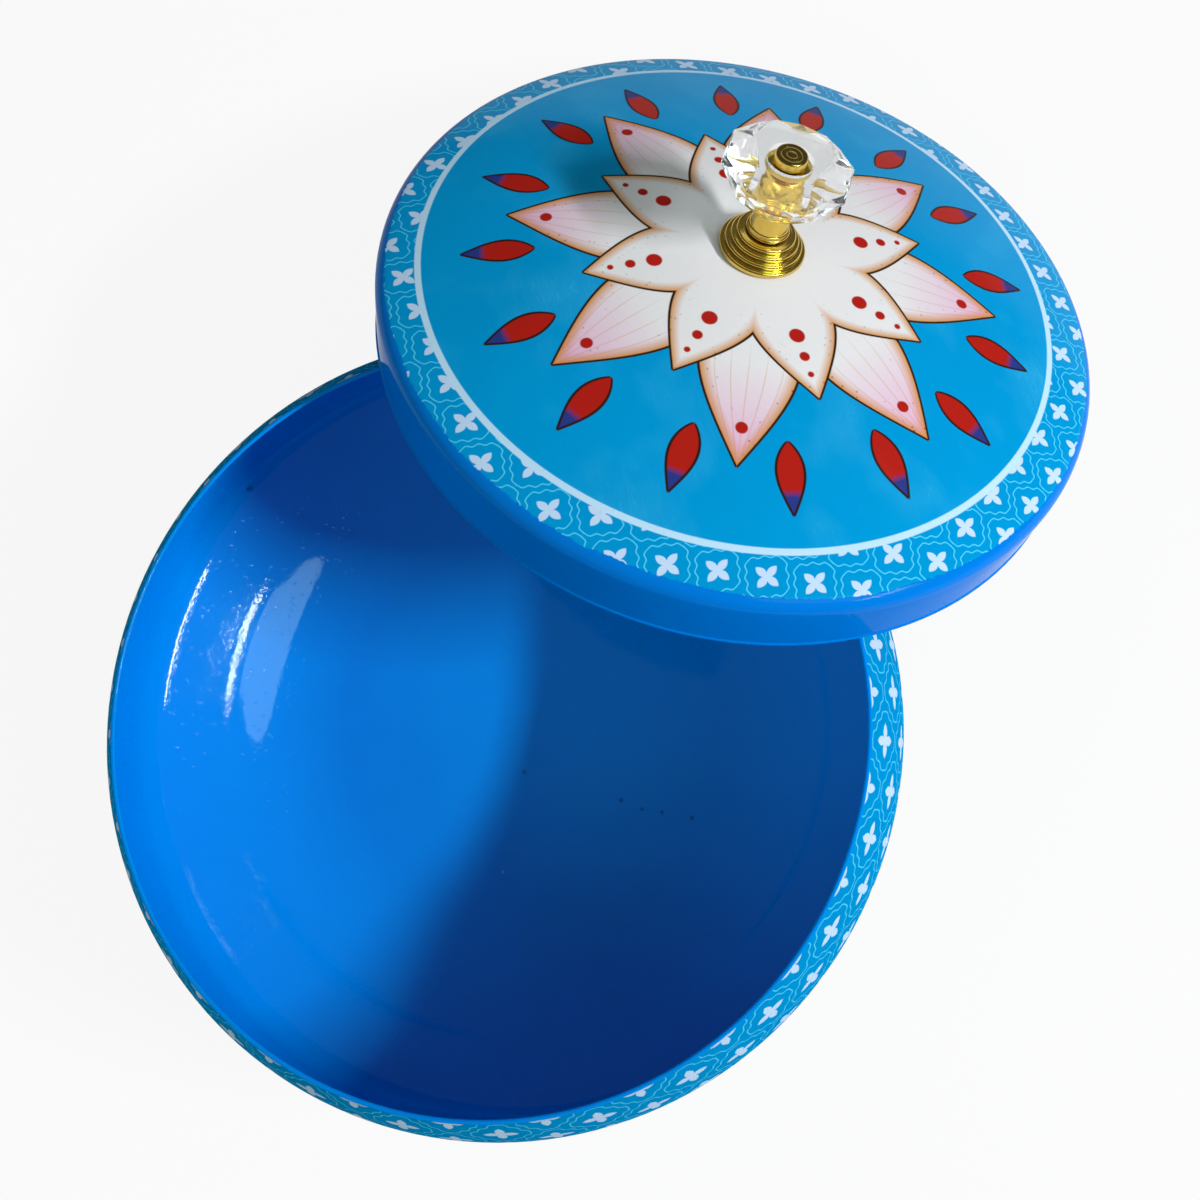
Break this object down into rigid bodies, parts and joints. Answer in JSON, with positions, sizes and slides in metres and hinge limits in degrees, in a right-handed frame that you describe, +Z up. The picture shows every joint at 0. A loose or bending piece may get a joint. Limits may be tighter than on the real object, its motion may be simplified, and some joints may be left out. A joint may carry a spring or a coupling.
{
  "type": "gift tin",
  "caption": "Round painted metal gift tin: a rounded blue bowl with a domed slip-on lid leaning on its rim, and a faceted crystal knob on a stepped brass rosette.",
  "frame": {"origin": "centre of the bowl's flat base, on the table", "axes": "+Z up, +Y from the bowl towards the side where the lid leans down to the table, +X across the lean"},
  "size_m": [0.2068, 0.3144, 0.0999],
  "materials": {
    "bowl_paint": "gloss",
    "lid_paint": "gloss",
    "brass": "polished",
    "crystal": "polished",
    "steel": "satin"
  },
  "bodies": {
    "bowl": {"bowl_shell": "bowl_paint"},
    "lid": {"lid_shell": "lid_paint", "knob_rosette": "brass", "knob_neck": "brass", "knob_crystal": "crystal", "knob_ferrule": "brass", "knob_bolt": "brass", "knob_washer": "steel", "knob_nut": "steel"}
  },
  "joints": [
    {"name": "lid_lift", "type": "slide", "parent": "bowl", "child": "lid", "axis": [0, 0, 1], "range_m": [0, 0.12]}
  ]
}
